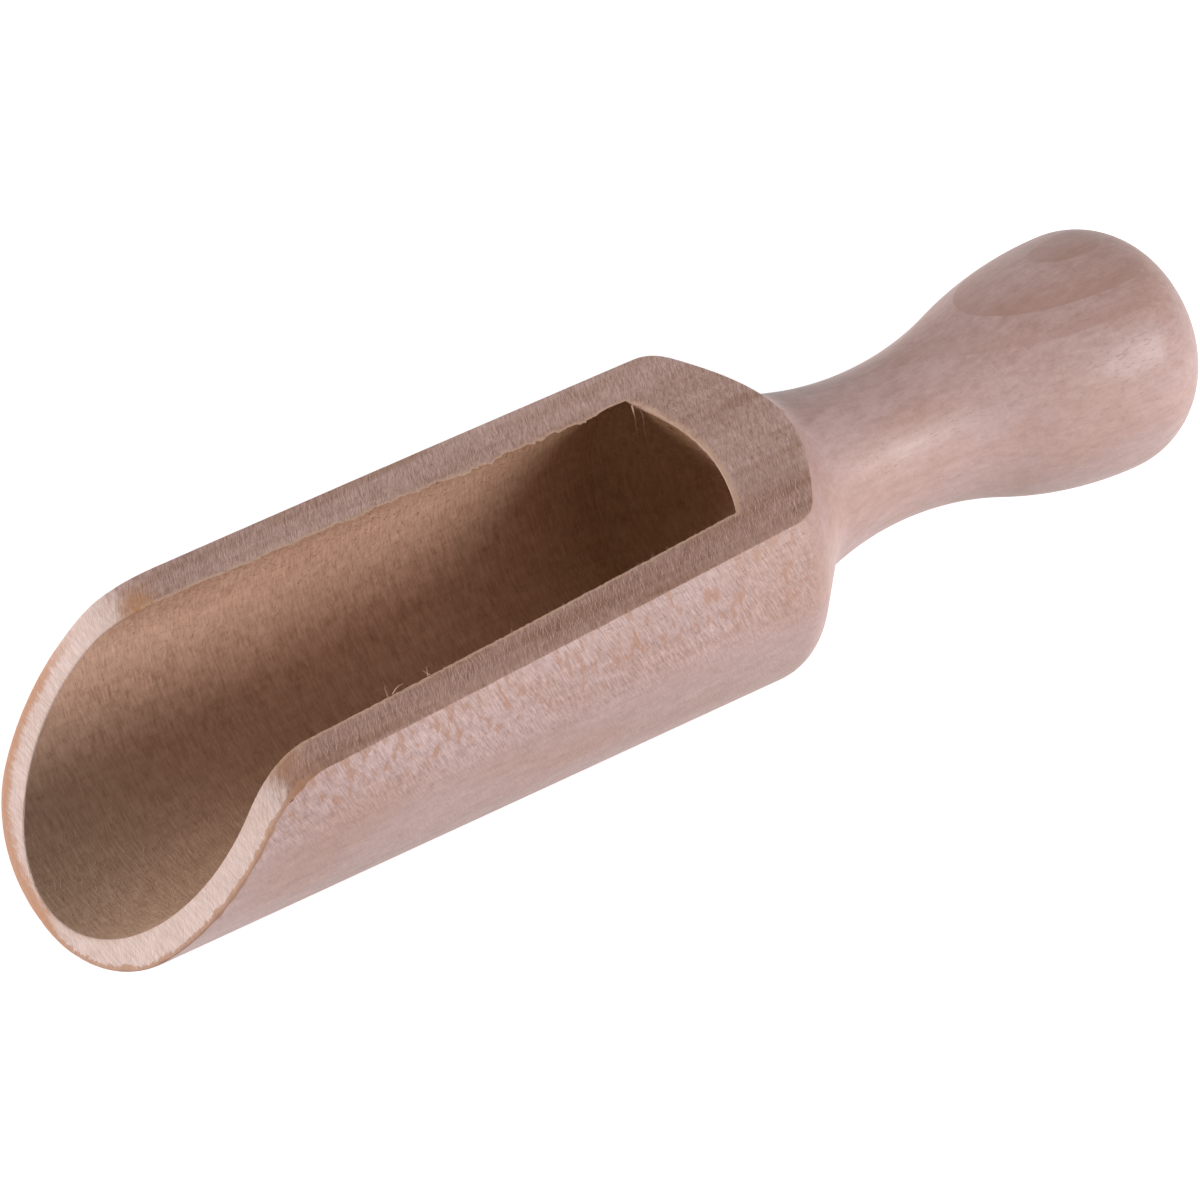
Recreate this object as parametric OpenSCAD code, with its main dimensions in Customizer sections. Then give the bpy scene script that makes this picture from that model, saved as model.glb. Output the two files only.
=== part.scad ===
// Wooden scoop turned from one piece of beech: a drilled bowl with an open, milled top,
// a slanted mouth, a waisted neck and a round knob for a handle.
// It lies on its round belly with the opening up, mouth towards -X and knob towards +X.

/* [Bowl] */
// Outside diameter of the bowl
body_d = 40; // [36:0.5:60]
// Length of the straight bowl, from the front of the blank to the shoulder
body_len = 89.4; // [60:0.2:140]
// Wall between the drilled hollow and the outside
wall = 3.9; // [2.5:0.1:6]
// Distance from the end of the straight drilling to the shoulder
heel = 4.7; // [2:0.1:12]
// Point angle of the drill that leaves the hollow's conical bottom
drill_angle = 110; // [90:1:140]
// Rounding of the blank's front edge, which thins the lip
front_r = 7.4; // [4:0.1:9]

/* [Opening] */
// Depth of the milled flat below the top of the bowl, at the shoulder
flat_drop = 7.7; // [6.5:0.1:13]
// Fall of the flat towards the mouth, in degrees
flat_tilt = 2.7; // [0:0.1:5]
// Lean of the mouth's cut away from upright, in degrees
lip_angle = 36.5; // [20:0.5:50]
// Radius of the bend from the flat into the mouth's cut
bend_r = 11.5; // [4:0.5:25]

/* [Shoulder and neck] */
// Rounding where the bowl turns into the shoulder
shoulder_r = 5; // [2:0.1:7]
// Steepness of the shoulder's flank, in degrees
shoulder_angle = 47; // [40:1:65]
// Radius of the hollow curve at the foot of the flank
hollow_r = 4; // [1:0.5:8]
// Slope where that curve passes into the neck, in degrees
hollow_angle = 16.6; // [12:0.2:24]
// Thinnest diameter of the neck
neck_d = 18.4; // [12:0.2:21]

/* [Knob] */
// Largest diameter of the knob
knob_d = 29.5; // [25:0.1:38]
// Distance from the thinnest neck to the widest knob
knob_reach = 31.4; // [24:0.2:50]
// Share of that distance taken by the neck's hollow curve
neck_share = 0.46; // [0.35:0.01:0.6]
// Radius of the knob's turn towards its end
knob_end_r = 10.8; // [7:0.1:12]
// Angle at which that turn passes into the round end
knob_end_angle = 56; // [45:1:65]

/* [Hidden] */
beech = [0.80, 0.66, 0.56];
$fn = 72;
over = 1;                       // how far a cutting tool runs past the wood
arc_step = 5;                   // longest step along an arc, in degrees

body_r = body_d/2;
bore_r = body_r - wall;
neck_r = neck_d/2;
knob_r = knob_d/2;
cone_len = bore_r/tan(drill_angle/2);
hollow_len = body_len - heel;

// The outline is a chain of tangent arcs; each point is [distance along the axis, radius].
// Neck and the back of the knob: an S of two arcs that meet at this slope.
s_angle = 2*atan((knob_r - neck_r)/knob_reach);
s_sum = knob_reach/sin(s_angle);
neck_arc = neck_share*s_sum;
back_arc = s_sum - neck_arc;
// Shoulder: rounding, straight flank, hollow curve.
p_round = [body_len, body_r];
c_round = p_round - [0, shoulder_r];
p_flank = c_round + shoulder_r*[sin(shoulder_angle), cos(shoulder_angle)];
// The flank takes up what height is left between the rounding and the hollow curve.
hollow_top = neck_r + neck_arc*(1 - cos(hollow_angle))
           + hollow_r*(cos(hollow_angle) - cos(shoulder_angle));
flank = (p_flank[1] - hollow_top)/sin(shoulder_angle);
p_hollow = p_flank + flank*[cos(shoulder_angle), -sin(shoulder_angle)];
c_hollow = p_hollow + hollow_r*[sin(shoulder_angle), cos(shoulder_angle)];
c_neck = c_hollow + (neck_arc - hollow_r)*[sin(hollow_angle), cos(hollow_angle)];
// Knob: back, turn and the round end, whose centre lies on the axis.
p_wide = [c_neck[0] + knob_reach, knob_r];
c_back = p_wide - [0, back_arc];
c_turn = p_wide - [0, knob_end_r];
p_end = c_turn + knob_end_r*[sin(knob_end_angle), cos(knob_end_angle)];
end_r = p_end[1]/cos(knob_end_angle);
c_end = [p_end[0] - end_r*sin(knob_end_angle), 0];
tip = c_end[0] + end_r;

// Front rounding and the place where the mouth's cut meets it: the foremost wood.
c_front = [front_r, body_r - front_r];
cut_off = front_r*(sin(lip_angle) - cos(lip_angle));
cut_half = sqrt(front_r*front_r - cut_off*cut_off);
lip_cut = [front_r + cut_off*cos(lip_angle) - cut_half*sin(lip_angle),
           c_front[1] + cut_off*sin(lip_angle) + cut_half*cos(lip_angle)];
lip_bore = front_r - sqrt(max(0, pow(front_r, 2) - pow(max(0, bore_r - c_front[1]), 2)));
lip_x = lip_cut[1] > bore_r ? lip_cut[0] : lip_bore;

// Side view of the opening, [along the axis, height above the axis].
flat_top = [body_len, body_r - flat_drop];
lip_foot = [0, -body_r];
flat_dir = [cos(flat_tilt), sin(flat_tilt)];
lip_dir = [sin(lip_angle), cos(lip_angle)];
bend_run = (flat_dir[0]*(lip_foot[1] - flat_top[1]) - flat_dir[1]*(lip_foot[0] - flat_top[0]))
         / (flat_dir[1]*lip_dir[0] - flat_dir[0]*lip_dir[1]);
bend = lip_foot + bend_run*lip_dir;
bend_turn = 90 - lip_angle - flat_tilt;
bend_len = bend_r*tan(bend_turn/2);
c_bend = bend + bend_len*flat_dir + bend_r*[flat_dir[1], -flat_dir[0]];

// Points of an arc after its start, in steps of at most arc_step; angles from the axis.
function arc(c, r, a1, a2) =
    let (n = ceil(abs(a2 - a1)/arc_step))
    [for (i = [1 : n]) let (a = a1 + (a2 - a1)*i/n) c + r*[cos(a), sin(a)]];

// Half of the turned outline, from the middle of the front face round to the knob's tip.
function outline() = concat(
    [[0, 0], [0, c_front[1]]],
    arc(c_front, front_r, 180, 90),
    [p_round],
    arc(c_round, shoulder_r, 90, 90 - shoulder_angle),
    [p_hollow],
    arc(c_hollow, hollow_r, 270 - shoulder_angle, 270 - hollow_angle),
    arc(c_neck, neck_arc, 270 - hollow_angle, 270 + s_angle),
    arc(c_back, back_arc, 90 + s_angle, 90),
    arc(c_turn, knob_end_r, 90, 90 - knob_end_angle),
    arc(c_end, end_r, 90 - knob_end_angle, 0));

// The turned blank, its axis laid along X.
module blank() {
    rotate([0, 90, 0]) rotate_extrude() polygon([for (p = outline()) [p[1], p[0]]]);
}

// Drilled hollow with the cone left by the drill's point.
module hollow() {
    rotate([0, 90, 0]) {
        translate([0, 0, -over]) cylinder(h = hollow_len + over, r = bore_r);
        translate([0, 0, hollow_len]) cylinder(h = cone_len, r1 = bore_r, r2 = 0);
    }
}

// Everything above the flat and in front of the mouth's cut.
module opening() {
    foot = lip_foot - 2*over*lip_dir;
    rear = flat_top + (c_neck[0] - body_len)/cos(flat_tilt)*flat_dir;
    bend_start = bend - bend_len*lip_dir;
    rotate([90, 0, 0]) linear_extrude(height = body_d + 2*over, center = true)
        polygon(concat([foot, bend_start],
                       arc(c_bend, bend_r, 180 - lip_angle, 90 + flat_tilt),
                       [rear, [rear[0], body_d], [-body_r, body_d], [-body_r, foot[1]]]));
}

module scoop() {
    color(beech)
    translate([-(lip_x + tip)/2, 0, body_r])
    difference() {
        blank();
        hollow();
        opening();
    }
}

scoop();
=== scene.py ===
from math import cos, pi, radians, sin, tan
import bmesh
import bpy
import numpy as np
from mathutils import Matrix, Vector, noise


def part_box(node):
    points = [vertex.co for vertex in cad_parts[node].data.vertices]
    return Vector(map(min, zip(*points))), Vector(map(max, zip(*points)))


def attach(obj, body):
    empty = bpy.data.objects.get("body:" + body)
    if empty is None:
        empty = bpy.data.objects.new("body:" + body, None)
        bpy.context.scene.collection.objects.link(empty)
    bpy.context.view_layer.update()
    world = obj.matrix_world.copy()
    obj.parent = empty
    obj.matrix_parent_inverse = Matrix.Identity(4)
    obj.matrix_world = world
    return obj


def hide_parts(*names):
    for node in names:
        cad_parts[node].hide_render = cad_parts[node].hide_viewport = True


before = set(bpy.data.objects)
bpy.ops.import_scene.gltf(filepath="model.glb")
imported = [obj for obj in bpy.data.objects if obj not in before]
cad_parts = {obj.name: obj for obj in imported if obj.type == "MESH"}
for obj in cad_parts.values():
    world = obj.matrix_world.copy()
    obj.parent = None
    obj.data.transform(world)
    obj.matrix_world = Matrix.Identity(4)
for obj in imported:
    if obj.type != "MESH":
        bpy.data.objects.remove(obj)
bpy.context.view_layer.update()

# The view: one camera above and in front of the mouth, looking down along the bowl.
# Its place and turn are those from which the scoop shows its drilled hollow and near wall.
MM = 0.001
view_azimuth = radians(-37.76)
view_elevation = radians(44.16)
view_roll = radians(4.39)
view_distance = 623 * MM
view_target = Vector((-4.06, 0, 14.56)) * MM
film_width = 36.0
lens_mm = 165.35

ahead = Vector((-sin(view_azimuth) * cos(view_elevation),
                cos(view_azimuth) * cos(view_elevation), -sin(view_elevation)))
level = Vector((cos(view_azimuth), sin(view_azimuth), 0))
upright = level.cross(ahead)
across = cos(view_roll) * level + sin(view_roll) * upright
upward = cos(view_roll) * upright - sin(view_roll) * level
camera = bpy.data.objects.new("camera", bpy.data.cameras.new("camera"))
camera.data.sensor_width = film_width
camera.data.lens = lens_mm
camera.data.clip_start = 0.01
camera.matrix_world = Matrix.Translation(view_target - ahead * view_distance) @ Matrix(
    (across, upward, -ahead)).transposed().to_4x4()
bpy.context.scene.collection.objects.link(camera)
bpy.context.scene.camera = camera

# The turned blank: a beech bowl, shoulder, waisted neck and knob, cut on the lathe as one
# chain of tangent arcs. Sizes in mm; x runs from the front of the blank to the knob's tip.
bowl_r, bowl_len, front_r = 20.0, 89.4, 7.4
wall, heel, drill_angle = 3.9, 4.7, radians(110)
shoulder_r, shoulder_angle = 5.0, radians(47)
hollow_arc, hollow_angle = 4.0, radians(16.6)
neck_r, knob_r, knob_reach, neck_share = 9.2, 14.75, 31.4, 0.46
knob_end_r, knob_end_angle = 10.8, radians(56)

knob_slope = (knob_r - neck_r) / knob_reach
knob_turn = 2 * knob_slope / (1 + knob_slope ** 2)      # sine of the slope between the two arcs
neck_arc = neck_share * knob_reach / knob_turn
back_arc = knob_reach / knob_turn - neck_arc
flank_x = bowl_len + shoulder_r * sin(shoulder_angle)
flank_y = bowl_r - shoulder_r + shoulder_r * cos(shoulder_angle)
hollow_y = (neck_r + neck_arc * (1 - cos(hollow_angle))
            + hollow_arc * (cos(hollow_angle) - cos(shoulder_angle)))
hollow_x = flank_x + (flank_y - hollow_y) / tan(shoulder_angle)
hollow_cx = hollow_x + hollow_arc * sin(shoulder_angle)
hollow_cy = hollow_y + hollow_arc * cos(shoulder_angle)
neck_join = hollow_cx - hollow_arc * sin(hollow_angle)
neck_x = neck_join + neck_arc * sin(hollow_angle)
back_join = neck_x + neck_arc * knob_turn
knob_x = neck_x + knob_reach
end_x = knob_x + knob_end_r * sin(knob_end_angle)
end_y = knob_r - knob_end_r + knob_end_r * cos(knob_end_angle)
end_r = end_y / cos(knob_end_angle)
end_cx = end_x - end_r * sin(knob_end_angle)
tip_x = end_cx + end_r


def arc_height(x, cx, cy, r, side):
    return cy + side * np.sqrt(np.maximum(r * r - (x - cx) ** 2, 0))


def turned_radius(x):
    """Outside radius of the turned blank at x."""
    x = np.asarray(x, float)
    return np.select(
        [x < front_r, x < bowl_len, x < flank_x, x < hollow_x,
         x < neck_join, x < back_join, x < knob_x, x < end_x],
        [arc_height(x, front_r, bowl_r - front_r, front_r, 1),
         np.full_like(x, bowl_r),
         arc_height(x, bowl_len, bowl_r - shoulder_r, shoulder_r, 1),
         flank_y - (x - flank_x) * tan(shoulder_angle),
         arc_height(x, hollow_cx, hollow_cy, hollow_arc, -1),
         arc_height(x, neck_x, neck_r + neck_arc, neck_arc, -1),
         arc_height(x, knob_x, knob_r - back_arc, back_arc, 1),
         arc_height(x, knob_x, knob_r - knob_end_r, knob_end_r, 1)],
        arc_height(x, end_cx, 0, end_r, 1))


# The hollow: drilled into the blank from the front, its bottom the cone of the drill's point.
bore_r = bowl_r - wall
bore_len = bowl_len - heel
cone_slope = 1 / tan(drill_angle / 2)
bore_tip = bore_len + bore_r * cone_slope


def bored_radius(x):
    """Radius of the drilled hollow at x."""
    return np.clip((bore_tip - np.asarray(x, float)) / cone_slope, 0, bore_r)


# The opening: one pass of a cutter that mills the top flat, falling towards the front,
# and then bends down over a radius into the slanted mouth.
flat_drop, flat_tilt = 7.7, radians(2.7)
lip_angle, bend_r = radians(36.5), 11.5

flat_z = bowl_r - flat_drop
corner_x = (flat_z + bowl_r - bowl_len * tan(flat_tilt)) / (1 / tan(lip_angle) - tan(flat_tilt))
corner_z = -bowl_r + corner_x / tan(lip_angle)
bend_turn = pi / 2 - lip_angle - flat_tilt
bend_leg = bend_r * tan(bend_turn / 2)
bend_x0 = corner_x - bend_leg * sin(lip_angle)
bend_x1 = corner_x + bend_leg * cos(flat_tilt)
bend_cx = bend_x1 + bend_r * sin(flat_tilt)
bend_cz = corner_z + bend_leg * sin(flat_tilt) - bend_r * cos(flat_tilt)
bend_x = bend_cx - bend_r * sin((pi / 2 - lip_angle + flat_tilt) / 2)


def cut_height(x):
    """Height of the cut above the axis at x."""
    x = np.asarray(x, float)
    return np.select(
        [x < bend_x0, x < bend_x1],
        [-bowl_r + x / tan(lip_angle), arc_height(x, bend_cx, bend_cz, bend_r, 1)],
        corner_z + (x - corner_x) * tan(flat_tilt))


# The scoop's surface is laid out as three sheets that meet at the two rims: the turned
# outside, the cut face between the rims, and the drilled inside.
rows_across = 140      # cells from rail to rail, over the belly
rows_rail = 200        # cells along a rail, from the bend to the rear corner
rows_rear = 30         # cells of a rim round its rear end
rows_face = 8          # cells of the cut face from rim to rim
rows_handle = 90       # cells from the shoulder to the knob's tip
rows_cone = 14         # cells from the opening's rear end to the drill point
rows_bowl = rows_rail + rows_rear
crowding = 1.25        # draws the cells closer together towards the rims


def solve(rising, low, high, target):
    """x at which a rising function reaches the target, by halving."""
    low, high = np.full_like(target, low), np.full_like(target, high)
    for _ in range(50):
        mid = (low + high) / 2
        below = rising(mid) < target
        low, high = np.where(below, mid, low), np.where(below, high, mid)
    return (low + high) / 2


def evenly(curve_x, radius, count):
    """x at even steps along a rim between the ends of curve_x."""
    z = cut_height(curve_x)
    y = np.sqrt(np.maximum(radius(curve_x) ** 2 - z ** 2, 0))
    step = np.sqrt(np.diff(curve_x) ** 2 + np.diff(y) ** 2 + np.diff(z) ** 2)
    run = np.concatenate([[0], np.cumsum(step)])
    return np.interp(np.linspace(0, run[-1], count + 1), run, curve_x)


def sheet(radius, rear_corner):
    """Grid of x and of the angle from the bottom, for one skin of the bowl."""
    close_x = float(solve(lambda x: cut_height(x) - radius(x), rear_corner, bowl_len + 20,
                          np.zeros(1))[0])
    edge_angle = lambda x: np.arccos(np.clip(-cut_height(x) / radius(x), -1, 1))
    even = np.linspace(-1, 1, rows_across + 1)
    w = np.sign(even) * (1 - (1 - np.abs(even)) ** crowding)
    corner_angle = float(edge_angle(np.array(bend_x)))
    front = solve(lambda x: cut_height(x) + radius(x) * np.cos(w * corner_angle), 0, bend_x + 5,
                  np.zeros_like(w))
    front[[0, -1]] = bend_x
    rear = close_x - (close_x - rear_corner) * (1 - np.linspace(0, 1, 2000)) ** 2
    rail = np.concatenate([
        evenly(np.linspace(bend_x, rear_corner, 2000), radius, rows_rail),
        evenly(rear, radius, rows_rear)[1:]])
    share = ((rail - bend_x) / (close_x - bend_x))[:, None]
    x = front[None] + (close_x - front[None]) * share
    angle = w[None] * edge_angle(rail)[:, None]
    angle[-1] = w * pi
    return x, angle


def wrap(x, angle, radius):
    """Points of a skin from its grid."""
    r = radius(x)
    return np.stack([x, r * np.sin(angle), -r * np.cos(angle)], -1)


out_x, out_a = sheet(turned_radius, bowl_len)
in_x, in_a = sheet(bored_radius, bore_len)
outside = wrap(out_x, out_a, turned_radius)
inside = wrap(in_x, in_a, bored_radius)

t = np.linspace(0, 1, rows_handle + 1)[1:, None]
handle_x = out_x[-1:] + (tip_x - out_x[-1:]) * np.sin(t * pi / 2)
handle_a = np.repeat(out_a[-1:], rows_handle, 0)
outside = np.concatenate([outside, wrap(handle_x, handle_a, turned_radius)])
t = np.linspace(0, 1, rows_cone + 1)[1:, None]
cone_x = in_x[-1:] + (bore_tip - in_x[-1:]) * t
inside = np.concatenate([inside, wrap(cone_x, np.repeat(in_a[-1:], rows_cone, 0), bored_radius)])


def rim(skin):
    """The rim of a skin, from the rear end round the mouth and back, as one row of points."""
    return np.concatenate([skin[rows_bowl:0:-1, 0], skin[0], skin[1:rows_bowl + 1, -1]])


outer_rim, inner_rim = rim(outside), rim(inside)
axis_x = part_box("scoop")[0].x / MM - float(outer_rim[:, 0].min())
cut_x = np.linspace(0, bowl_len + 20, 8000)
cut_run = np.concatenate([[0], np.cumsum(np.hypot(np.diff(cut_x), np.diff(cut_height(cut_x))))])


def face_rows(shares):
    """Rows of the cut face between the rims, straight across in the cutter's own path."""
    s_out = np.interp(outer_rim[:, 0], cut_x, cut_run)
    s_in = np.interp(inner_rim[:, 0], cut_x, cut_run)
    rows = []
    for v in shares:
        x = np.interp(s_out + (s_in - s_out) * v, cut_run, cut_x)
        y = outer_rim[:, 1] + (inner_rim[:, 1] - outer_rim[:, 1]) * v
        rows.append(np.stack([x, y, cut_height(x)], -1))
    return np.stack(rows)


face = face_rows(np.linspace(0, 1, rows_face + 1))

# The rims: the cutter leaves both edges of the cut ragged. The inner edge is torn all along,
# with chips and a burr that hangs over the hollow on the far rail, and the mouth's outer edge
# has lost small splinters of end grain.
ease_steps = 3


def inward(rim_line, next_line):
    """Directions from a rim into a sheet, square to the rim."""
    along = np.gradient(rim_line, axis=0)
    along /= np.linalg.norm(along, axis=1)[:, None] + 1e-9
    step = next_line - rim_line
    step -= along * (step * along).sum(1)[:, None]
    return step / (np.linalg.norm(step, axis=1)[:, None] + 1e-9)


def second(skin):
    """The row of a skin just inside its rim."""
    line = np.concatenate([skin[rows_bowl:0:-1, 1], skin[1], skin[1:rows_bowl + 1, -2]])
    line[0] = line[-1] = skin[rows_bowl + 1, 0]
    return line


def rim_gap(skin, rim_line):
    """Distance of each point of a skin from its rim, and the rim point it is nearest to."""
    flat = skin.reshape(-1, 3)
    gap, near = np.empty(len(flat)), np.empty(len(flat), int)
    for start in range(0, len(flat), 4000):
        apart = np.linalg.norm(flat[start:start + 4000, None] - rim_line[None], axis=2)
        near[start:start + 4000] = apart.argmin(1)
        gap[start:start + 4000] = apart.min(1)
    return gap.reshape(skin.shape[:2]), near.reshape(skin.shape[:2])


def eased(rim_line, a, b, ease):
    """Rows of the small round between two sheets, from the first sheet to the second."""
    rows = []
    for t in np.linspace(0, 1, ease_steps + 2)[1:-1]:
        rows.append(rim_line + a * (ease * (1 - t) ** 2)[:, None] + b * (ease * t ** 2)[:, None])
    return rows


def ragged(line, per_mm, seed):
    """Uneven values, about -1 to 1, along a rim."""
    return np.array([2 * noise.noise(Vector((x * per_mm, y * per_mm, seed))) for x, y, _ in line])


def bump_at(line, x, reach):
    """A smooth hump along a rim, centred at x of the part's frame."""
    return np.exp(-((line[:, 0] + axis_x - x) / reach) ** 2)


def mouth_share(line):
    """1 on the slanted mouth, 0 on the flat."""
    return np.clip((bend_x1 - line[..., 0]) / (bend_x1 - bend_x0), 0, 1)


far_rail = (inner_rim[:, 1] > 0) * (1 - mouth_share(inner_rim))
in_ease = 0.14 + 0.16 * np.maximum(ragged(inner_rim, 2.1, 3.1), 0) * (1 - mouth_share(inner_rim))
in_ease += 0.05 * np.abs(ragged(inner_rim, 0.6, 9.4))
chips = bump_at(inner_rim, -16.5, 1.5) + 0.8 * bump_at(inner_rim, -6.5, 1.6)
chips += 0.5 * bump_at(inner_rim, -34, 2.2) + 0.4 * bump_at(inner_rim, 2, 1.2)
in_ease += 0.38 * np.clip((inner_rim[:, 0] - bore_len) / 0.8, 0, 1)
in_ease += far_rail * chips * (0.32 + 0.2 * ragged(inner_rim, 2.2, 5.5))
out_ease = 0.12 + 0.05 * np.abs(ragged(outer_rim, 1.1, 7.7))
near_lip = mouth_share(outer_rim) * np.clip((3 - outer_rim[:, 1]) / 6, 0, 1)
far_lip = mouth_share(outer_rim) * np.clip((outer_rim[:, 1] + 4) / 6, 0, 1) * np.clip(
    (9 - outer_rim[:, 2]) / 6, 0, 1)
out_ease += 0.30 * near_lip * np.maximum(ragged(outer_rim, 1.2, 2.3), 0) + 0.55 * far_lip
burr = far_rail * (0.25 + 0.35 * bump_at(inner_rim, -9, 16)) * np.clip(
    (bore_len - 2.5 - inner_rim[:, 0]) / 3, 0, 1)
burr *= 1 + 0.55 * ragged(inner_rim, 0.45, 1.9) + 0.4 * ragged(inner_rim, 2.4, 6.9)

out_skin_dir = inward(outer_rim, second(outside))
in_skin_dir = inward(inner_rim, second(inside))
out_face_dir = inward(outer_rim, face[1])
in_face_dir = inward(inner_rim, face[-2])
out_gap, out_near = rim_gap(outside, outer_rim)
in_gap, in_near = rim_gap(inside, inner_rim)
ease_reach, burr_reach = 3.0, 1.4

fade = np.clip(1 - out_gap / ease_reach, 0, 1)
outside = outside + out_skin_dir[out_near] * (out_ease[out_near] * fade)[..., None]
fade = np.clip(1 - in_gap / ease_reach, 0, 1)
inside = inside + in_skin_dir[in_near] * (in_ease[in_near] * fade)[..., None]
fade = np.clip(1 - in_gap / burr_reach, 0, 1)
inside = inside - in_face_dir[in_near] * (burr[in_near] * fade)[..., None]

inner_rim = inner_rim - in_face_dir * burr[:, None]
shares = np.linspace(0, 1, rows_face + 1)[:, None, None]
face = face + (out_face_dir * out_ease[:, None])[None] * (1 - shares)
face = face + (in_face_dir * (in_ease - burr)[:, None])[None] * shares
band = np.stack([outer_rim + out_skin_dir * out_ease[:, None]]
                + eased(outer_rim, out_skin_dir, out_face_dir, out_ease)
                + list(face)
                + eased(inner_rim, in_face_dir, in_skin_dir, in_ease)
                + [inner_rim + in_skin_dir * in_ease[:, None]])
middle = (band[:, 0] + band[:, -1]) / 2
middle[:, 1] = 0
band[:, 0] = band[:, -1] = middle
for skin, end in ((outside, 0), (inside, -1)):
    line = band[end]
    skin[rows_bowl:0:-1, 0] = line[:rows_bowl]
    skin[0] = line[rows_bowl:rows_bowl + rows_across + 1]
    skin[1:rows_bowl + 1, -1] = line[rows_bowl + rows_across + 1:]

# The wood's surface as one closed mesh, welded from the three sheets. Each point carries its
# distance from the rims, for the torn edges, and how far it lies on the slanted mouth.
from_outer = np.concatenate([np.zeros(ease_steps + 1), np.linspace(0, 1, rows_face + 1),
                             np.ones(ease_steps + 1)])[:, None]
width = np.linalg.norm(face[-1] - face[0], axis=1)[None]
layout = [(outside, 0, out_gap, np.full(out_gap.shape, 9.0)),
          (band, 1, from_outer * width, (1 - from_outer) * width),
          (inside, 2, np.full(in_gap.shape, 9.0), in_gap)]
points, quads, kinds, outer_gap, inner_gap = [], [], [], [], []
for sheet_points, kind, to_outer, to_inner in layout:
    start = sum(len(p) for p in points)
    n, m = sheet_points.shape[:2]
    points.append(sheet_points.reshape(-1, 3))
    outer_gap.append(to_outer.ravel())
    inner_gap.append(to_inner.ravel())
    index = start + np.arange(n * m).reshape(n, m)
    quads.append(np.stack([index[:-1, :-1], index[1:, :-1], index[1:, 1:], index[:-1, 1:]],
                          -1).reshape(-1, 4))
    kinds.append(np.full(len(quads[-1]), kind))
points = np.concatenate(points)
mouth = mouth_share(points)
points = (points + [axis_x, 0, bowl_r]) * MM

mesh = bpy.data.meshes.new("scoop_wood")
mesh.from_pydata(points.tolist(), [], np.concatenate(quads).tolist())
mesh.polygons.foreach_set("material_index", np.concatenate(kinds).astype(np.int32))
for name, values in (("outer_gap", np.concatenate(outer_gap)),
                     ("inner_gap", np.concatenate(inner_gap)), ("mouth", mouth)):
    mesh.attributes.new(name, "FLOAT", "POINT").data.foreach_set("value", values.astype(np.float32))
work = bmesh.new()
work.from_mesh(mesh)
bmesh.ops.remove_doubles(work, verts=work.verts, dist=2e-6)
bmesh.ops.recalc_face_normals(work, faces=work.faces)
work.to_mesh(mesh)
work.free()
mesh.shade_smooth()
scoop = bpy.data.objects.new("scoop_wood", mesh)
bpy.context.scene.collection.objects.link(scoop)

# Beech: pale pinkish wood with growth rings that lie nearly level through the scoop, ray
# flecks that show where the surface stands square to the rings' run, and short fine pores.
ring_tilt, ray_tilt = radians(19.6), radians(30)    # lean of the rings and of the flecked band
ring_step, ring_top = 2.5, 14.2    # ring spacing, and height of a ring's edge above the axis
ring_up = (0, sin(ring_tilt), cos(ring_tilt))
ring_side = (0, cos(ray_tilt), -sin(ray_tilt))


class Board:
    """Lays nodes in one material or group and links their values."""

    def __init__(self, tree):
        self.tree = tree

    def add(self, kind, inputs=None, output=0, **settings):
        made = self.tree.nodes.new(kind if "Node" in kind else "ShaderNode" + kind)
        for name, value in settings.items():
            setattr(made, name, value)
        for slot, value in (inputs or {}).items():
            if isinstance(value, bpy.types.NodeSocket):
                self.tree.links.new(value, made.inputs[slot])
            else:
                made.inputs[slot].default_value = value
        return made.outputs[output]

    def math(self, operation, a, b=0.0, clamp=False):
        return self.add("Math", {0: a, 1: b}, operation=operation, use_clamp=clamp)

    def along(self, vector, direction):
        return self.add("VectorMath", {0: vector, 1: direction}, "Value",
                        operation="DOT_PRODUCT")

    def stretched(self, vector, scale):
        return self.add("VectorMath", {0: vector, 1: scale}, operation="MULTIPLY")

    def noise(self, vector, scale=1.0, detail=2.0, roughness=0.5):
        return self.add("TexNoise", {"Vector": vector, "Scale": scale, "Detail": detail,
                                     "Roughness": roughness})

    def step(self, value, low, high, start=0.0, end=1.0):
        return self.add("MapRange", {0: value, 1: low, 2: high, 3: start, 4: end},
                        interpolation_type="SMOOTHSTEP")

    def blend(self, amount, a, b, blend_type="MIX"):
        return self.add("Mix", {0: amount, 6: a, 7: b}, 2, data_type="RGBA",
                        blend_type=blend_type)

    def part(self, place, axis):
        return self.add("SeparateXYZ", {0: place}, "XYZ".index(axis))

    def swing(self, value, amount):
        """A noise's value, moved to lie about zero and scaled."""
        return self.math("MULTIPLY", self.math("SUBTRACT", value, 0.5), amount)

    def attribute(self, name):
        return self.add("Attribute", None, "Fac", attribute_name=name)


group = bpy.data.node_groups.new("beech_figure", "ShaderNodeTree")
for name, kind in (("Place", "Vector"), ("Tone", "Float"), ("Fleck", "Float"), ("Pore", "Float"),
                   ("Quarter", "Float"), ("Ring", "Float")):
    group.interface.new_socket(name=name, in_out="OUTPUT", socket_type="NodeSocket" + kind)
b = Board(group)
place = b.stretched(b.add("TexCoord", output="Object"), (1000, 1000, 1000))
place = b.add("VectorMath", {0: place, 1: (0, 0, bowl_r)}, operation="SUBTRACT")
spread = b.add("VectorMath", {0: b.stretched(place, (0, 1, 1))}, operation="NORMALIZE")
quarter = b.math("ABSOLUTE", b.along(spread, ring_side))

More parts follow.
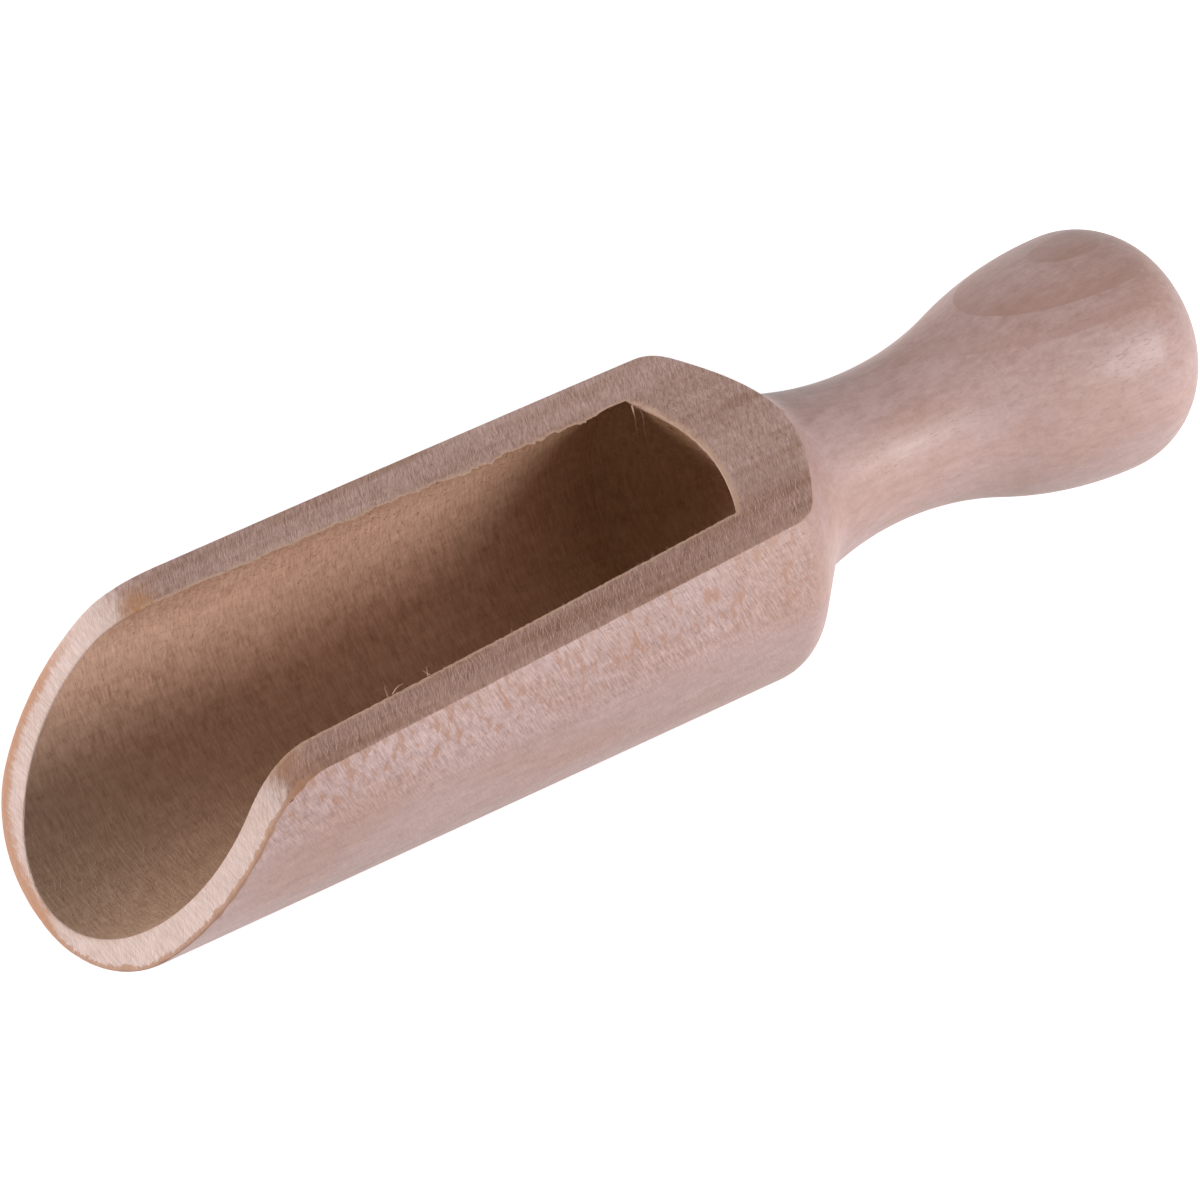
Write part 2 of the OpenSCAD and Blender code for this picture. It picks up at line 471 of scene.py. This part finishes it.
drift = b.noise(b.stretched(place, (0.018, 0.07, 0.07)), detail=2)
level_up = b.along(place, ring_up)
height = b.math("ADD", level_up, b.math("MULTIPLY", drift, 0.6))
height = b.math("DIVIDE", b.math("SUBTRACT", height, ring_top + 0.3), ring_step)
layer = b.math("FRACT", height)
late = b.math("MULTIPLY", b.step(layer, 0.0, 0.05), b.math("POWER", b.math(
    "SUBTRACT", 1.0, layer), 1.6))
strong = b.step(b.noise(b.stretched(place, (0.012, 0.16, 0.16)), detail=1), 0.35, 0.65, 0.35, 1.0)
strong = b.math("MULTIPLY", strong, b.step(level_up, 7.2, 11.7, 0.12, 1.0))
rings = b.math("MULTIPLY", late, strong)
fibre = b.noise(b.stretched(place, (0.10, 1.9, 1.9)), detail=4, roughness=0.62)
cloud = b.noise(b.stretched(place, (0.035, 0.09, 0.09)), detail=3)
grainy = b.noise(place, 2.6, 3, 0.6)
tone = b.math("ADD", b.swing(fibre, 0.30), b.swing(cloud, 0.34))
tone = b.math("ADD", tone, b.swing(grainy, 0.16))

turned_frame = b.add("CombineXYZ", {0: b.part(place, "X"),
                                    1: b.along(place, ring_side), 2: b.along(place, ring_up)})
wobble = b.stretched(b.add("TexNoise", {"Vector": place, "Scale": 0.7, "Detail": 2.0}, "Color"),
                     (1.2, 0.1, 1.6))
ray_place = b.add("VectorMath", {0: turned_frame, 1: wobble}, operation="ADD")
large = b.noise(b.stretched(ray_place, (1.1, 2.0, 0.42)), detail=3, roughness=0.55)
fleck = b.math("MULTIPLY", b.step(large, 0.50, 0.66), b.step(quarter, 0.92, 0.98))
small = b.noise(b.stretched(ray_place, (1.5, 5.0, 0.8)), detail=2, roughness=0.5)
fleck = b.math("MAXIMUM", fleck, b.math("MULTIPLY", b.step(small, 0.62, 0.72), 0.4))
speck = b.noise(b.stretched(place, (0.8, 7.0, 7.0)), detail=1)
pore = b.step(speck, 0.66, 0.74)
finish = group.nodes.new("NodeGroupOutput")
for slot, value in (("Place", place), ("Tone", tone), ("Fleck", fleck), ("Pore", pore),
                    ("Quarter", quarter), ("Ring", rings)):
    group.links.new(value, finish.inputs[slot])


def beech(name):
    """A new material with the beech figure laid in it."""
    made = bpy.data.materials.new(name)
    made.use_nodes = True
    board = Board(made.node_tree)
    figure = made.node_tree.nodes.new("ShaderNodeGroup")
    figure.node_tree = group
    return made, board, figure.outputs, made.node_tree.nodes["Principled BSDF"]


def connect(board, shader, colour, roughness, height, depth_mm, gloss):
    """Feeds a finish into its shader, with its relief as bump."""
    tree = board.tree
    tree.links.new(colour, shader.inputs["Base Color"])
    bump = board.add("Bump", {"Height": height, "Strength": 1.0, "Distance": depth_mm * MM})
    tree.links.new(bump, shader.inputs["Normal"])
    shader.inputs["Roughness"].default_value = roughness
    shader.inputs["Specular IOR Level"].default_value = gloss


def shade(board, colour, tone):
    """A colour made lighter, or darker and redder, by a tone about zero."""
    factor = board.add("VectorMath", {0: board.add("CombineXYZ", {0: tone, 1: tone, 2: tone}),
                                      1: (0.85, 1.05, 1.15), 2: (1, 1, 1)},
                       operation="MULTIPLY_ADD")
    return board.add("VectorMath", {0: colour, 1: factor}, operation="MULTIPLY")


# Turned outside: cut across the grain on the lathe and lightly sanded, so the flat sides of
# the bowl show ray flecks and short strokes round the turning, and the handle is smooth.
pink, sand = (0.610, 0.412, 0.388, 1), (0.565, 0.355, 0.305, 1)
rust, dark = (0.52, 0.26, 0.15, 1), (0.30, 0.19, 0.14, 1)
stroke_lean = radians(24)       # lean of the strokes away from square to the length
fleck_tan, ring_brown = (0.54, 0.285, 0.20, 1), (0.40, 0.225, 0.175, 1)
end_grain = (0.66, 0.36, 0.235, 1)
turned, b, figure, shader = beech("beech_turned")
place, length = figure["Place"], b.part(figure["Place"], "X")
colour = b.blend(b.step(b.noise(b.stretched(place, (0.05, 0.14, 0.14)), detail=3), 0.35, 0.7),
                 pink, sand)
on_bowl = b.step(length, axis_x + bowl_len + 3, axis_x + bowl_len - 1)
leaning = b.add("VectorRotate", {"Vector": place, "Angle": stroke_lean}, rotation_type="Y_AXIS")
stroke = b.noise(b.stretched(leaning, (5.0, 0.8, 0.8)), detail=3, roughness=0.6)
stroke = b.swing(stroke, 1.0)
side = b.math("MULTIPLY", b.step(figure["Quarter"], 0.86, 0.975, 0.2, 1.0), on_bowl)
stroke = b.math("MULTIPLY", stroke, b.math("ADD", b.math("MULTIPLY", side, 0.9), 0.12))
blotch = b.noise(b.stretched(place, (0.45, 0.9, 0.9)), detail=5, roughness=0.7)
on_handle = b.math("SUBTRACT", 1.0, on_bowl)
# Painted shade: the top of the shoulder, neck and knob is made darker.
shaded_handle_top = b.math("MULTIPLY", b.step(b.part(place, "Z"), 2.0, 13.0), on_handle)
tone = b.math("ADD", figure["Tone"], b.math("MULTIPLY", stroke, 1.4))
tone = b.math("ADD", tone, b.swing(blotch, 0.60))
tone = b.math("ADD", tone, b.math("MULTIPLY", side, 0.08))
# Painted light: the shoulder, neck and knob are made lighter all over.
tone = b.math("ADD", tone, b.math("MULTIPLY", on_handle, 0.09))
tone = b.math("SUBTRACT", tone, b.math("MULTIPLY", shaded_handle_top, 0.27))
colour = shade(b, colour, tone)
ring = b.math("MULTIPLY", figure["Ring"], b.step(length, axis_x + knob_x - 4, axis_x + knob_x + 9,
                                                 0.85, 0.35))
colour = b.blend(ring, colour, ring_brown)
colour = b.blend(b.math("MULTIPLY", figure["Fleck"], b.math(
    "ADD", b.math("MULTIPLY", on_bowl, 0.7), 0.12)), colour, fleck_tan)
colour = b.blend(b.math("MULTIPLY", figure["Pore"], 0.22), colour, dark)
front = b.step(length, axis_x + front_r * 0.95, axis_x + 1.2)
streaks = b.noise(b.stretched(place, (0.5, 1.6, 0.35)), detail=4, roughness=0.65)
colour = b.blend(b.math("MULTIPLY", front, b.step(streaks, 0.3, 0.62, 0.25, 0.95)),
                 colour, end_grain)
torn = b.noise(b.stretched(place, (1.4, 1.4, 1.4)), detail=3, roughness=0.7)
near_edge = b.math("SUBTRACT", b.math("MULTIPLY", torn, 0.9), b.attribute("outer_gap"))
near_side = b.step(b.part(place, "Y"), 4.0, -2.0)
brown_edge = b.math("MULTIPLY", b.step(near_edge, 0.2, 0.45), b.math(
    "ADD", b.math("MULTIPLY", b.math("MULTIPLY", b.attribute("mouth"), near_side), 0.5), 0.15))
colour = b.blend(brown_edge, colour, rust)
relief = b.math("ADD", b.math("MULTIPLY", stroke, 0.7), b.math(
    "SUBTRACT", b.math("MULTIPLY", tone, 0.4), b.math("MULTIPLY", figure["Pore"], 0.35)))
connect(b, shader, colour, roughness=0.45, height=relief, depth_mm=0.06, gloss=0.5)

# Milled cut: rough and greyish on the flat, where the cutter raised the grain in strokes
# across the rails, and clean and pale on the slanted mouth, where it cut end grain.
grey_pink, mouth_pink = (0.580, 0.388, 0.340, 1), (0.800, 0.605, 0.545, 1)
streak_brown, near_rail = (0.43, 0.255, 0.185, 1), (0.80, 0.72, 0.66, 1)
torn_brown, crescent_rust = (0.50, 0.235, 0.105, 1), (0.60, 0.30, 0.18, 1)
inner_edge_and_highlight = (0.66, 0.43, 0.31, 1)
torn_patches = (((-56.3, 14.3, 8.4), 0.9), ((-55.8, -14.3, 8.5), 0.5), ((-60.8, -16.6, 4.6), 0.12))
milled, b, figure, shader = beech("beech_milled")
place = figure["Place"]
turned_place = b.add("VectorRotate", {"Vector": place, "Angle": stroke_lean},
                     rotation_type="Z_AXIS")
fine = b.noise(b.stretched(turned_place, (6.5, 0.75, 0.9)), detail=3, roughness=0.6)
broad = b.noise(b.stretched(turned_place, (1.6, 0.5, 0.6)), detail=3, roughness=0.6)
fuzz = b.math("ADD", b.swing(fine, 1.1), b.swing(broad, 0.5))
slope = b.math("ADD", b.attribute("mouth"), b.swing(broad, 0.6))
slope = b.step(slope, 0.45, 0.8)
sides = b.part(place, "Y")
lip_lines = b.noise(b.stretched(place, (4.5, 0.55, 4.5)), detail=3, roughness=0.6)
flat_tone = b.math("ADD", b.math("MULTIPLY", figure["Tone"], 1.25), b.math("MULTIPLY", fuzz, 1.25))
lip_tone = b.math("ADD", b.math("MULTIPLY", figure["Tone"], 0.35), b.math(
    "MULTIPLY", b.math("SUBTRACT", lip_lines, 0.52), 0.8))
tone = b.add("Mix", {0: slope, 2: flat_tone, 3: lip_tone}, data_type="FLOAT")
streak = b.step(b.noise(b.stretched(place, (0.05, 0.45, 0.3)), detail=3), 0.45, 0.7)
flat_colour = b.blend(b.math("MULTIPLY", streak, 0.7), grey_pink, streak_brown)
flat_colour = b.blend(b.math("MULTIPLY", figure["Ring"], 0.35), flat_colour, ring_brown)
flat_colour = b.blend(b.step(sides, -6.0, -12.0), flat_colour, near_rail, "MULTIPLY")
colour = shade(b, b.blend(slope, flat_colour, mouth_pink), tone)
torn = b.noise(b.stretched(place, (1.5, 1.5, 1.5)), detail=3, roughness=0.7)
near_side = b.step(sides, 4.0, -2.0)
near_edge = b.math("SUBTRACT", b.math("MULTIPLY", torn, 1.3), b.attribute("outer_gap"))
brown_edge = b.math("MULTIPLY", b.step(near_edge, 0.1, 0.45), b.math(
    "MULTIPLY", near_side, b.step(b.attribute("mouth"), 0.05, 0.4)))
colour = b.blend(b.math("MULTIPLY", brown_edge, 0.75), colour, rust)
crescent = b.math("ADD", b.attribute("outer_gap"), b.math("MULTIPLY", b.noise(
    b.stretched(place, (1.2, 0.5, 3.0)), detail=3, roughness=0.7), 3.0))
crescent = b.math("MULTIPLY", b.step(crescent, 3.2, 1.9), b.math("MULTIPLY", slope, b.math(
    "MULTIPLY", b.step(sides, -5.0, 1.0), b.step(b.part(place, "Z"), 6.0, -3.0))))
colour = b.blend(b.math("MULTIPLY", crescent, 0.85), colour, crescent_rust)
# Along the torn inner rim the colour is paler: partly the torn wood's own colour, partly a painted
# highlight where the edge catches the light.
pale_edge_and_highlight = b.math("SUBTRACT", b.math("MULTIPLY", torn, 0.8), b.attribute("inner_gap"))
colour = b.blend(b.math("MULTIPLY", b.step(pale_edge_and_highlight, 0.0, 0.25), b.math(
    "SUBTRACT", 0.7, b.math("MULTIPLY", slope, 0.5))), colour, inner_edge_and_highlight)
grazed = b.step(lip_lines, 0.35, 0.65, 0.35, 1.0)
for centre, amount in torn_patches:
    patch = b.add("VectorMath", {0: place, 1: centre}, "Value", operation="DISTANCE")
    patch = b.math("ADD", patch, b.math("MULTIPLY", torn, 3.6))
    colour = b.blend(b.math("MULTIPLY", b.step(patch, 5.3, 2.6), b.math(
        "MULTIPLY", grazed, amount)), colour, torn_brown)
connect(b, shader, colour, roughness=0.72, height=fuzz, depth_mm=0.10, gloss=0.2)

# Drilled hollow: left as the drill tore it, brown and mottled, with fine strokes round it.
# The tan is painted light, up the hollow's walls and on the near side of the drill point's cone.
bore_lit_tan, bore_brown = (0.700, 0.455, 0.340, 1), (0.440, 0.280, 0.190, 1)
# The dark brown is painted shade deep in the hollow, and also darkens the flecks.
bore_shade_and_fleck = (0.315, 0.182, 0.098, 1)
drilled, b, figure, shader = beech("beech_drilled")
place, length = figure["Place"], b.part(figure["Place"], "X")
leaning = b.add("VectorRotate", {"Vector": place, "Angle": stroke_lean / 3}, rotation_type="Y_AXIS")
fine = b.noise(b.stretched(leaning, (2.9, 0.5, 0.5)), detail=4, roughness=0.65)
mottle = b.noise(b.stretched(place, (0.5, 0.7, 0.7)), detail=4, roughness=0.7)
fuzz = b.math("ADD", b.swing(fine, 1.0), b.swing(mottle, 0.5))
# Painted shade: the hollow is made darker towards its rear, except by the rim on the near side, where it is
# kept lighter as painted light.
rear = b.step(length, -22.0, 12.0)
lit_near_rim = b.math("MULTIPLY", b.step(b.attribute("inner_gap"), 12.0, 1.0),
                b.step(b.part(place, "Y"), 3.0, -4.0))
# Painted light and shade: the walls are made lighter up high and darker towards the bottom.
colour = b.blend(b.step(b.part(place, "Z"), -18.0, -3.0), bore_brown, bore_lit_tan)
colour = b.blend(b.math("MULTIPLY", rear, b.math("SUBTRACT", 1.0, b.math(
    "MULTIPLY", lit_near_rim, 0.8))), colour, bore_shade_and_fleck)
# Painted light on the near side of the drill point's cone.
lit_cone_side = b.math("MULTIPLY", b.step(length, axis_x + bore_len - 0.5, axis_x + bore_len + 2.0),
                 b.step(b.part(place, "Y"), 6.0, -8.0))
colour = b.blend(lit_cone_side, colour, bore_lit_tan)
colour = b.blend(b.math("MULTIPLY", figure["Fleck"], 0.3), colour, bore_shade_and_fleck)
colour = shade(b, colour, b.math("ADD", figure["Tone"], b.math("MULTIPLY", fuzz, 0.95)))
connect(b, shader, colour, roughness=0.8, height=fuzz, depth_mm=0.09, gloss=0.12)

for finish in (turned, milled, drilled):
    mesh.materials.append(finish)
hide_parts("scoop")
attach(scoop, "root")

# Torn fibres: short hairs of the same wood, which the cutter lifted on the flat and the drill
# in the hollow. They lie the way the tool went, and the slanted mouth has none.
fibre_mm, fibre_length_mm = 0.045, (0.3, 1.1)
hairs_flat, hairs_bore = 6.0, 1.6       # fibres per square millimetre
fibre_tan, fibre_pale = (0.56, 0.35, 0.26, 1), (0.66, 0.46, 0.40, 1)
flat_lie = (0.29, 0.90, 0.32)           # way the fibres lie on the flat, across the rails
bore_along, bore_lift = 0.15, 0.3       # and in the hollow, round it
hair_finish, b, figure, shader = beech("beech_fibre")
from_axis = b.add("VectorMath", {0: b.stretched(figure["Place"], (0, 1, 1))}, "Value",
                  operation="LENGTH")
colour = b.blend(b.step(from_axis, bore_r - 0.3, bore_r + 0.3), fibre_tan, fibre_pale)
connect(b, shader, shade(b, colour, figure["Tone"]), roughness=0.7, height=figure["Tone"],
        depth_mm=0.01, gloss=0.2)

turn = np.concatenate([np.arctan2(p[..., 1], -p[..., 2]).ravel() for p in (outside, band, inside)])
kind = np.concatenate([np.full(p.shape[0] * p.shape[1], k) for p, k in (
    (outside, 0), (band, 1), (inside, 2))])
round_bore = np.stack([np.full(turn.shape, bore_along), np.cos(turn) - bore_lift * np.sin(turn),
                       np.sin(turn) + bore_lift * np.cos(turn)], -1)
lie = np.where((kind == 1)[:, None], flat_lie, round_bore)
outer_mm, inner_mm = np.concatenate(outer_gap), np.concatenate(inner_gap)
near_thin = np.where(points[:, 1] < 0, np.clip((inner_mm - 0.3) / 1.1, 0, 1), 1)
hairs = np.select([kind == 1, kind == 2], [
    hairs_flat * (mouth < 0.3) * (outer_mm > 0.9) * near_thin,
    hairs_bore * (inner_mm > 1.2)], 0.0)

bed = bpy.data.meshes.new("fibre_bed")
keep = np.concatenate(kinds) > 0
bed.from_pydata(points.tolist(), [], np.concatenate(quads)[keep].tolist())
bed.attributes.new("hairs", "FLOAT", "POINT").data.foreach_set("value", hairs.astype(np.float32))
bed.attributes.new("lie", "FLOAT_VECTOR", "POINT").data.foreach_set(
    "vector", lie.astype(np.float32).ravel())

tree = bpy.data.node_groups.new("torn_fibres", "GeometryNodeTree")
tree.is_modifier = True
for name, kind in (("Surface", "Geometry"), ("Per Square Metre", "Float"), ("Thickness", "Float"),
                   ("Shortest", "Float"), ("Longest", "Float")):
    tree.interface.new_socket(name=name, in_out="INPUT", socket_type="NodeSocket" + kind)
tree.interface.new_socket(name="Fibres", in_out="OUTPUT", socket_type="NodeSocketGeometry")
b = Board(tree)
given = tree.nodes.new("NodeGroupInput").outputs
dense = b.add("GeometryNodeInputNamedAttribute", {"Name": "hairs"}, data_type="FLOAT")
way = b.add("GeometryNodeInputNamedAttribute", {"Name": "lie"}, data_type="FLOAT_VECTOR")
spots = b.add("GeometryNodeDistributePointsOnFaces", {
    "Mesh": given["Surface"], "Density": b.math("MULTIPLY", dense, given["Per Square Metre"]),
    "Seed": 4}, "Points")
stray = b.add("FunctionNodeRandomValue", {0: (-0.35, -0.35, -0.2), 1: (0.35, 0.35, 0.2), "Seed": 7},
              data_type="FLOAT_VECTOR")
way = b.add("VectorMath", {0: way, 1: stray}, operation="ADD")
aim = b.add("FunctionNodeAlignRotationToVector", {"Vector": way}, axis="Z")
length = b.add("FunctionNodeRandomValue", {2: given["Shortest"], 3: given["Longest"], "Seed": 9}, 1,
               data_type="FLOAT")
hair = b.add("GeometryNodeMeshCone", {"Vertices": 3, "Radius Top": 0.0,
                                      "Radius Bottom": given["Thickness"], "Depth": 1.0})
laid = b.add("GeometryNodeInstanceOnPoints", {
    "Points": spots, "Instance": hair, "Rotation": aim,
    "Scale": b.add("CombineXYZ", {0: 1.0, 1: 1.0, 2: length})})
real = b.add("GeometryNodeRealizeInstances", {0: laid})
done = b.add("GeometryNodeSetMaterial", {"Geometry": real, "Material": hair_finish})
tree.links.new(done, tree.nodes.new("NodeGroupOutput").inputs[0])

bed_object = bpy.data.objects.new("fibre_bed", bed)
bpy.context.scene.collection.objects.link(bed_object)
grow = bed_object.modifiers.new("torn_fibres", "NODES")
grow.node_group = tree
sizes = {"Per Square Metre": 1e6, "Thickness": fibre_mm / 2 * MM,
         "Shortest": fibre_length_mm[0] * MM, "Longest": fibre_length_mm[1] * MM}
for item in tree.interface.items_tree:
    if item.name in sizes:
        grow[item.identifier] = sizes[item.name]
grown = bpy.data.meshes.new_from_object(bed_object.evaluated_get(
    bpy.context.evaluated_depsgraph_get()))
bpy.data.objects.remove(bed_object)
grown.name = "scoop_fibres"
grown.materials.clear()
grown.materials.append(hair_finish)
grown.polygons.foreach_set("material_index", np.zeros(len(grown.polygons), np.int32))
fibres = bpy.data.objects.new("scoop_fibres", grown)
bpy.context.scene.collection.objects.link(fibres)
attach(fibres, "root")

# Splinters: longer strands torn loose at the rims. Two hang into the hollow from its far rear
# corner, and a few stand up from the near rim.
def strand(work, way, thick):
    """A tapering three-sided strand along the given points."""
    rings = []
    for i, here in enumerate(way):
        run = Vector(way[min(i + 1, len(way) - 1)]) - Vector(way[max(i - 1, 0)])
        aside = run.orthogonal().normalized()
        beyond = run.cross(aside).normalized()
        r = thick / 2 * (1 - 0.85 * i / (len(way) - 1))
        rings.append([work.verts.new((Vector(here) + r * (cos(a) * aside + sin(a) * beyond)) * MM)
                      for a in (0, 2 * pi / 3, 4 * pi / 3)])
    for low, high in zip(rings, rings[1:]):
        for i in range(3):
            work.faces.new((low[i], low[i - 2], high[i - 2], high[i]))
    work.faces.new(rings[0][::-1])
    work.faces.new(rings[-1])


def on_inner_rim(x, side):
    """Point of the inner rim at x of the part's frame, on the far (1) or near (-1) side."""
    z = float(cut_height(x - axis_x))
    return Vector((x, side * (bored_radius(x - axis_x) ** 2 - z * z) ** 0.5, z + bowl_r))


work = bmesh.new()
corner = on_inner_rim(axis_x + bore_len + 0.4, 1)
for start, bends, thick in (
        (corner + Vector((-0.3, -0.1, 0)), ((0.3, -0.4, -1.7), (0.6, -0.4, -3.4), (1.0, -0.3, -5.3)), 0.26),
        (corner + Vector((0.5, -0.6, 0)), ((0.2, -0.5, -1.5), (0.4, -0.6, -3.0), (0.7, -0.6, -4.6)), 0.24),
        (on_inner_rim(-41.5, -1), ((-0.2, 0.0, 0.7), (-0.4, 0.0, 1.3), (-0.5, -0.1, 2.1)), 0.18),
        (on_inner_rim(-40.9, -1), ((0.5, 0.2, 0.3), (1.0, 0.3, 0.5), (1.6, 0.3, 0.5)), 0.16),
        (on_inner_rim(-36.3, -1), ((0.0, 0.1, 0.5), (-0.1, 0.1, 1.1), (-0.1, 0.0, 1.6)), 0.16),
        (on_inner_rim(-36.0, -1), ((-0.4, 0.2, 0.3), (-0.8, 0.3, 0.8)), 0.16)):
    strand(work, [start] + [start + Vector(v) for v in bends], thick)
bmesh.ops.recalc_face_normals(work, faces=work.faces)
splinter_mesh = bpy.data.meshes.new("scoop_splinters")
work.to_mesh(splinter_mesh)
work.free()
splinter_mesh.materials.append(hair_finish)
splinters = bpy.data.objects.new("scoop_splinters", splinter_mesh)
bpy.context.scene.collection.objects.link(splinters)
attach(splinters, "root")

# Paper sweep under the scoop, white to the camera, and two soft lamps at low height: one
# before the mouth and one beyond the near side, with a little light from all round.
def seen_directly(board):
    """1 for what the camera sees, itself or in a gloss or through glass, and 0 otherwise."""
    path = board.tree.nodes.new("ShaderNodeLightPath").outputs
    return board.math("MAXIMUM", path["Is Camera Ray"], board.math(
        "MAXIMUM", path["Is Glossy Ray"], path["Is Transmission Ray"]))


bpy.ops.mesh.primitive_plane_add(size=3)
floor = bpy.context.object
floor.name = "floor"
paper = bpy.data.materials.new("paper")
paper.use_nodes = True
b = Board(paper.node_tree)
paper_white, paper_lift = (0.6, 0.6, 0.6, 1), 0.78
shader = paper.node_tree.nodes["Principled BSDF"]
shader.inputs["Base Color"].default_value = paper_white
shader.inputs["Roughness"].default_value = 0.9
shader.inputs["Emission Color"].default_value = (1, 1, 1, 1)
paper.node_tree.links.new(b.math("MULTIPLY", seen_directly(b), paper_lift),
                          shader.inputs["Emission Strength"])
floor.data.materials.append(paper)


def lamp(name, place, size, watts):
    data = bpy.data.lights.new(name, "AREA")
    data.shape = "DISK"
    data.size = size
    data.energy = watts
    obj = bpy.data.objects.new(name, data)
    obj.location = place
    obj.rotation_euler = (Vector((0, 0, 0.015)) - Vector(place)).to_track_quat("-Z", "Y").to_euler()
    bpy.context.scene.collection.objects.link(obj)


lamp("left", (-0.82, 0.42, 0.29), 0.45, 6.4)
lamp("right", (0.38, -0.52, 0.31), 0.26, 3.15)
ambient = 0.22
world = bpy.data.worlds.new("world")
world.use_nodes = True
b = Board(world.node_tree)
world.node_tree.nodes["Background"].inputs["Color"].default_value = (1, 1, 1, 1)
world.node_tree.links.new(b.math("ADD", ambient, b.math("MULTIPLY", seen_directly(b), 1 - ambient)),
                          world.node_tree.nodes["Background"].inputs["Strength"])
bpy.context.scene.world = world
bpy.context.scene.view_settings.view_transform = "Standard"
